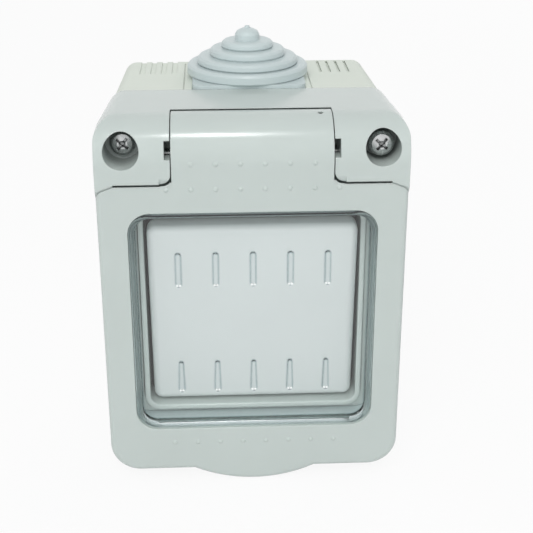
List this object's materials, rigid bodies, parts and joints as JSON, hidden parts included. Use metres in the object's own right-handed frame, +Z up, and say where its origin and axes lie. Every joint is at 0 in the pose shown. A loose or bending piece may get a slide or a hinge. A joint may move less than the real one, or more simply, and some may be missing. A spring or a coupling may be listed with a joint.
{
  "type": "weatherproof switch",
  "caption": "Surface-mounted weatherproof rocker switch with a stepped cable gland and a hinged lid whose clear soft window lets the rocker be pressed while closed.",
  "frame": {"origin": "centre of the four wall-screw holes on the box's back face, on the wall plane", "axes": "+Z up, -Y out of the wall towards the person who presses the rocker, +Y into the wall, +X to the right as seen from the front"},
  "size_m": [0.066, 0.0562, 0.0978],
  "materials": {
    "box_plastic": "finely grained off-white moulding",
    "cover_plastic": "smooth light grey moulding",
    "gland_plastic": "soft satin grey",
    "seal_rubber": "matt dark grey",
    "clear_plastic": "clear soft gloss",
    "rocker_plastic": "smooth white moulding",
    "housing_plastic": "matt black moulding",
    "zinc_steel": "bright zinc plate",
    "spring_steel": "drawn wire",
    "plunger_plastic": "natural nylon",
    "copper_alloy": "rolled copper alloy",
    "silver_contact": "silver alloy",
    "terminal_brass": "stamped brass"
  },
  "bodies": {
    "base": {"back_box": "box_plastic", "cable_gland": "gland_plastic", "box_gasket": "seal_rubber", "front_frame": "cover_plastic", "cover_screws": "zinc_steel", "hinge_pin": "zinc_steel", "lid_gasket": "gland_plastic", "switch_surround": "cover_plastic", "mechanism_housing": "housing_plastic", "mechanism_screws": "zinc_steel", "common_terminal": "terminal_brass", "line_terminal_upper": "terminal_brass", "line_terminal_lower": "terminal_brass", "fixed_contacts": "silver_contact", "terminal_screws": "zinc_steel"},
    "lid": {"lid": "cover_plastic", "lid_window": "clear_plastic", "window_retainer": "cover_plastic"},
    "rocker": {"rocker": "rocker_plastic", "detent_spring": "spring_steel"},
    "plunger": {"detent_plunger": "plunger_plastic"},
    "contact_lever": {"contact_lever": "copper_alloy", "moving_contacts": "silver_contact"}
  },
  "joints": [
    {"name": "lid_hinge", "type": "hinge", "parent": "base", "child": "lid", "pos_m": [0, -0.047, 0.0325], "axis": [-1, 0, 0], "range_deg": [0, 95]},
    {"name": "rocker_pivot", "type": "hinge", "parent": "base", "child": "rocker", "pos_m": [0, -0.041, -0.0042], "axis": [-1, 0, 0], "range_deg": [0, 12]},
    {"name": "lever_pivot", "type": "hinge", "parent": "base", "child": "contact_lever", "pos_m": [0, -0.03265, -0.0042], "axis": [-1, 0, 0], "range_deg": [-12, 0]},
    {"name": "plunger_slide", "type": "slide", "parent": "rocker", "child": "plunger", "axis": [0, -0.9945, -0.1045], "range_m": [0, 0.001], "stiffness_N_per_m": 300, "springref_m": -0.003, "deforming": ["detent_spring"]}
  ],
  "couplings": [
    {"joint": "lever_pivot", "follows": "rocker_pivot", "ratio": -1}
  ]
}
